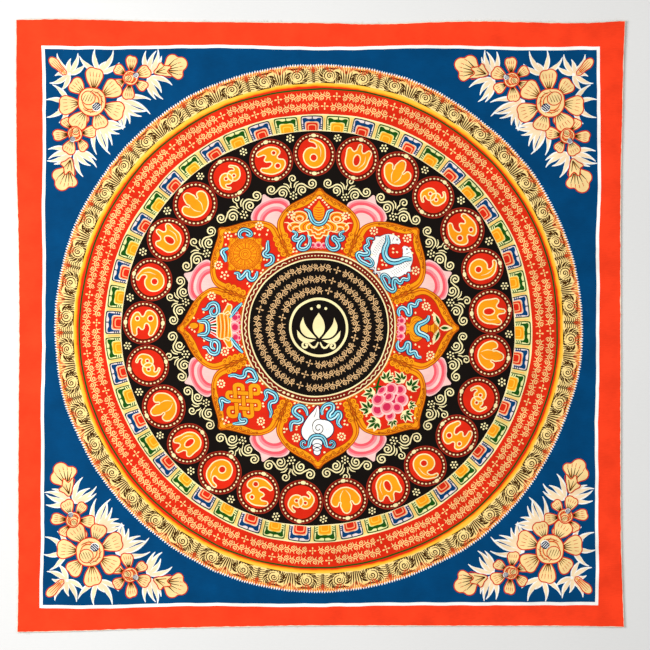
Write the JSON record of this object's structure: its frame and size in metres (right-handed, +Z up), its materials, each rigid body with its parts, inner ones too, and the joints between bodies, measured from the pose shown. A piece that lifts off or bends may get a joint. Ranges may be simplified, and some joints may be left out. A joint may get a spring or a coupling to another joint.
{
  "type": "painted mandala canvas",
  "caption": "Flat, nearly square painted cotton canvas with a hand-cut outline, a red margin and a round mandala painting on its upper face.",
  "frame": {"origin": "middle of the canvas's outline box, on the surface that the canvas lies on", "axes": "+Z up out of the painted face, +Y towards the top of the picture, +X to the picture's right"},
  "size_m": [0.4202, 0.423, 0.0012],
  "materials": {
    "painted_cotton": "matt opaque paint on primed cotton"
  },
  "bodies": {
    "root": {"painted_canvas": "painted_cotton"}
  },
  "joints": []
}
